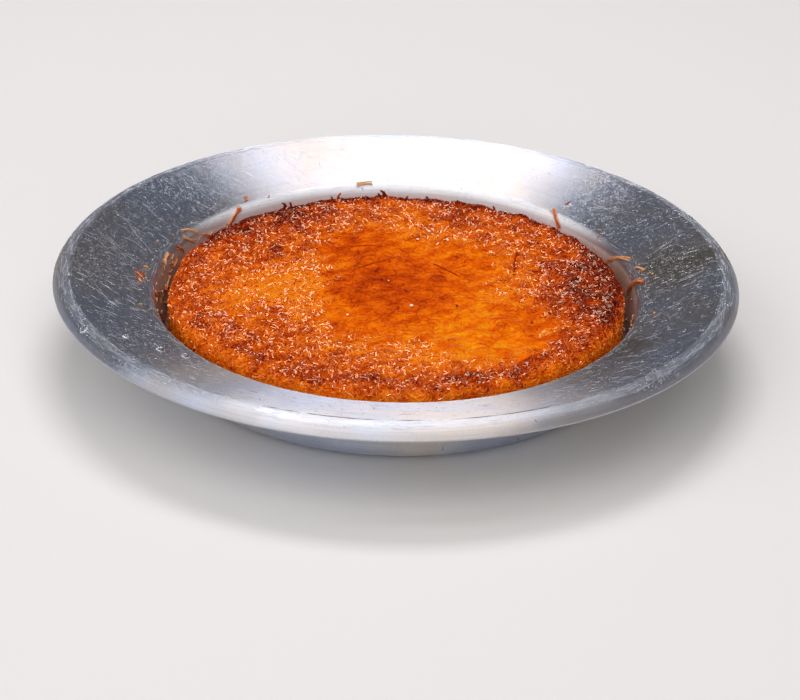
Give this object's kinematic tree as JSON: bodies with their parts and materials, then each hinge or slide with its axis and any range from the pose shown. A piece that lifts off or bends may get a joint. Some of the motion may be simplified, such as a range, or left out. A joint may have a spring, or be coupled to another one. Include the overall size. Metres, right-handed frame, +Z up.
{
  "type": "kunafa in a pan",
  "caption": "Round syrup-glazed kunafa of baked pastry strands in its spun aluminium pan with a wide sloping rim and a rolled lip.",
  "frame": {"origin": "middle of the flat underside of the pan, on the surface that it stands on", "axes": "+Z up along the axis of the round pan; +X to the right and +Y away from a viewer who stands in front of it"},
  "size_m": [0.23, 0.23, 0.0313],
  "materials": {
    "aluminium": "spun, worn and finely scratched",
    "baked_crust": "golden orange baked pastry strands, wet with clear syrup",
    "loose_pastry": "dry golden pastry shreds"
  },
  "bodies": {
    "root": {"pan": "aluminium", "kunafa": "baked_crust", "loose_shred_01": "loose_pastry", "loose_shred_02": "loose_pastry", "loose_shred_03": "loose_pastry", "loose_shred_04": "loose_pastry", "loose_shred_05": "loose_pastry", "loose_shred_06": "loose_pastry", "loose_shred_07": "loose_pastry", "loose_shred_08": "loose_pastry", "loose_shred_09": "loose_pastry", "loose_shred_10": "loose_pastry", "loose_shred_11": "loose_pastry", "loose_shred_12": "loose_pastry", "loose_shred_13": "loose_pastry", "loose_shred_14": "loose_pastry", "loose_shred_15": "loose_pastry", "loose_shred_16": "loose_pastry"}
  },
  "joints": []
}
